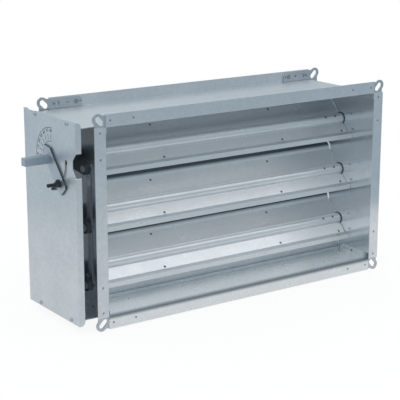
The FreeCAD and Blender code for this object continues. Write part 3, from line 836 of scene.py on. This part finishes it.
def dial_numeral(shape, degrees):
    """A plain number of degrees, standing on the outer side of its line."""
    text = bpy.data.curves.new("numeral", "FONT")
    text.body = str(degrees)
    text.size = numeral_height * MM * font_size_share
    text.extrude = mark_depth * MM / 2
    text.offset = numeral_weight * MM
    text.align_x = "CENTER"
    text.align_y = "CENTER"
    holder = bpy.data.objects.new("numeral", text)
    bpy.context.scene.collection.objects.link(holder)
    seen = holder.evaluated_get(bpy.context.evaluated_depsgraph_get())
    mesh = bpy.data.meshes.new_from_object(seen)
    a = math.radians(degrees)
    columns = (Vector((0, -math.sin(a), math.cos(a))), Vector((0, math.cos(a), math.sin(a))), to_left)
    turn = Matrix(columns).transposed().to_4x4()
    mesh.transform(Matrix.Translation(dial_point(numeral_radius, degrees, mark_depth / 2)) @ turn)
    shape.from_mesh(mesh)
    bpy.data.objects.remove(holder)
    bpy.data.curves.remove(text)
    bpy.data.meshes.remove(mesh)


def build_dial(material):
    """The dial of the blades' angle: two arcs, a line every 15 degrees and plain numbers."""
    def fill(shape):
        for radius in (dial_inner, dial_outer):
            dial_arc(shape, radius)
        for degrees in range(0, dial_stop + 1, dial_step):
            dial_tick(shape, degrees)
            dial_numeral(shape, degrees)
    return new_piece("dial_marks", fill, "casing", material)


# Finishes of the CAD nodes


def finish_nodes(finishes):
    """Give every CAD node its finish, by the first rule whose words are in its name."""
    rules = [("duct_bottom_wall", "floor_sheet"), ("duct_right_wall", "side_sheet"), ("duct_", "sheet"),
             ("panel_shelf", "sheet"), ("side_panel", "sheet"), ("stop_strip", "sheet"),
             ("_skin", "blade"), ("corner_rivets", "clinch"), ("corner_", "bracket"), ("rivets", "rivet"),
             ("_bush", "acetal"), ("crank_pin", "plate"), ("crank_", "nylon"), ("lever_clip", "plate"),
             ("lever", "lever"), ("clamp_bolt", "dark"), ("wing_nut", "dark")]
    for name, node in nodes.items():
        finish = next((finish for word, finish in rules if word in name), "plate")
        node.data.materials.clear()
        node.data.materials.append(finishes[finish])


# Studio


def straight_ray(tree, paths):
    """1 for a ray that the camera sees by, also through something clear, and 0 for any other."""
    return add_node(tree, "ShaderNodeMath",
                    {0: paths.outputs["Is Camera Ray"], 1: paths.outputs["Is Transmission Ray"]},
                    operation="MAXIMUM").outputs[0]


def build_floor():
    """A round pale floor: white to the camera and in the metal, and it keeps a soft shadow."""
    material, tree, output = empty_material("pale_floor")
    paths = add_node(tree, "ShaderNodeLightPath")
    straight = straight_ray(tree, paths)
    seen = add_node(tree, "ShaderNodeMath", {0: straight, 1: paths.outputs["Is Glossy Ray"]},
                    operation="MAXIMUM")
    share = add_node(tree, "ShaderNodeMath", {0: seen.outputs[0], 1: floor_glow_share}, operation="MULTIPLY")
    paint = add_node(tree, "ShaderNodeBsdfDiffuse", {"Color": linear("#F8F8F8")})
    level = add_node(tree, "ShaderNodeMapRange",
                     {"Value": straight, 3: floor_glow_mirrored, 4: floor_glow_seen})
    glow = add_node(tree, "ShaderNodeEmission", {"Color": linear("#FFFFFF"), "Strength": level.outputs[0]})
    mixed = add_node(tree, "ShaderNodeMixShader",
                     {0: share.outputs[0], 1: paint.outputs[0], 2: glow.outputs[0]})
    tree.links.new(mixed.outputs[0], output.inputs[0])
    shape = bmesh.new()
    middle = (cad_box[0] + cad_box[1]) / 2
    bmesh.ops.create_circle(shape, cap_ends=True, radius=floor_radius, segments=floor_sides)
    bmesh.ops.translate(shape, verts=shape.verts, vec=(middle.x, middle.y, cad_box[0].z - floor_gap * MM))
    mesh = bpy.data.meshes.new("studio_floor")
    shape.to_mesh(mesh)
    shape.free()
    mesh.materials.append(material)
    floor = bpy.data.objects.new("studio_floor", mesh)
    bpy.context.scene.collection.objects.link(floor)


def studio_walls(tree):
    """What the metal mirrors: walls that fall off below the lamps, and a pale backdrop low behind."""
    direction = add_node(tree, "ShaderNodeTexCoord").outputs["Generated"]
    axes = add_node(tree, "ShaderNodeSeparateXYZ", {0: direction})
    height = axes.outputs["Z"]
    lit = add_node(tree, "ShaderNodeMapRange", {"Value": height, 1: walls_dark, 2: walls_bright},
                   interpolation_type="SMOOTHSTEP")
    walls = add_node(tree, "ShaderNodeMix", {0: lit.outputs[0], 6: linear("#A3B1BA"), 7: linear("#FAFBFC")},
                     data_type="RGBA")
    low = add_node(tree, "ShaderNodeMapRange",
                   {"Value": height, 1: backdrop_full, 2: backdrop_top, 3: 1.0, 4: 0.0})
    rear = add_node(tree, "ShaderNodeMapRange",
                    {"Value": axes.outputs["Y"], 1: backdrop_side, 2: backdrop_rear})
    share = add_node(tree, "ShaderNodeMath", {0: low.outputs[0], 1: rear.outputs[0]}, operation="MULTIPLY")
    right = add_node(tree, "ShaderNodeMapRange",
                     {"Value": axes.outputs["X"], 1: backdrop_left, 2: backdrop_right})
    backdrop = add_node(tree, "ShaderNodeMix",
                        {0: right.outputs[0], 6: linear("#C3CCD2"), 7: linear("#FCFDFD")}, data_type="RGBA")
    return add_node(tree, "ShaderNodeMix",
                    {0: share.outputs[0], 6: walls.outputs[2], 7: backdrop.outputs[2]},
                    data_type="RGBA").outputs[2]


def build_world():
    """White round the object for the camera, and the studio's walls for the metal."""
    world = bpy.data.worlds.new("studio")
    bpy.context.scene.world = world
    world.use_nodes = True
    tree = world.node_tree
    tree.nodes.clear()
    straight = straight_ray(tree, add_node(tree, "ShaderNodeLightPath"))
    seen = add_node(tree, "ShaderNodeMix", {0: straight, 6: studio_walls(tree), 7: linear("#FFFFFF")},
                    data_type="RGBA")
    sky = add_node(tree, "ShaderNodeBackground", {"Color": seen.outputs[2], "Strength": 1.0})
    output = add_node(tree, "ShaderNodeOutputWorld")
    tree.links.new(sky.outputs[0], output.inputs[0])


def soft_lamp(name, place, size, power):
    """A square soft box that faces the damper; metres and watts."""
    lamp = bpy.data.lights.new(name, "AREA")
    lamp.shape = "SQUARE"
    lamp.size = size
    lamp.energy = power
    holder = bpy.data.objects.new(name, lamp)
    holder.location = place
    holder.rotation_euler = (-Vector(place)).to_track_quat("-Z", "Y").to_euler()
    bpy.context.scene.collection.objects.link(holder)


def build_lamps():
    """A large soft box above the front right, one on the left, and a weak one high behind."""
    soft_lamp("key_box", place=(1.1, -0.9, 1.9), size=1.5, power=2.2)
    soft_lamp("left_box", place=(-2.0, -0.2, 1.2), size=1.2, power=2.5)
    soft_lamp("rear_box", place=(0.6, 2.0, 1.4), size=1.2, power=0.8)


def build_camera():
    """The camera at the photograph's place and angle."""
    lens = bpy.data.cameras.new("camera")
    lens.lens = camera_lens
    lens.sensor_width = sensor_width
    camera = bpy.data.objects.new("camera", lens)
    camera.location = camera_place
    camera.rotation_euler = (math.pi / 2 - camera_pitch, 0, -camera_yaw)
    bpy.context.scene.collection.objects.link(camera)
    bpy.context.scene.camera = camera


def main():
    """Finish the nodes, add the detailed pieces and set the studio."""
    finishes = {"sheet": galvanised_sheet(), "floor_sheet": galvanised_floor_sheet(),
                "side_sheet": galvanised_side_sheet(), "blade": blade_sheet(),
                "bracket": pressed_bracket(), "plate": blue_zinc_plate(), "rivet": rivet_steel(),
                "dark": dark_screw_steel(), "nylon": moulded_nylon(), "acetal": grey_acetal(),
                "clinch": clinch_steel(), "lever": lever_plate()}
    finish_nodes(finishes)
    build_rivets(finishes["rivet"])
    build_screws(finishes["plate"])
    build_clamp_bolt(finishes["dark"])
    build_wing_nut(finishes["dark"])
    build_dial(stamped_marks())
    build_floor()
    build_world()
    build_lamps()
    build_camera()
    bpy.context.scene.view_settings.view_transform = "Standard"


main()
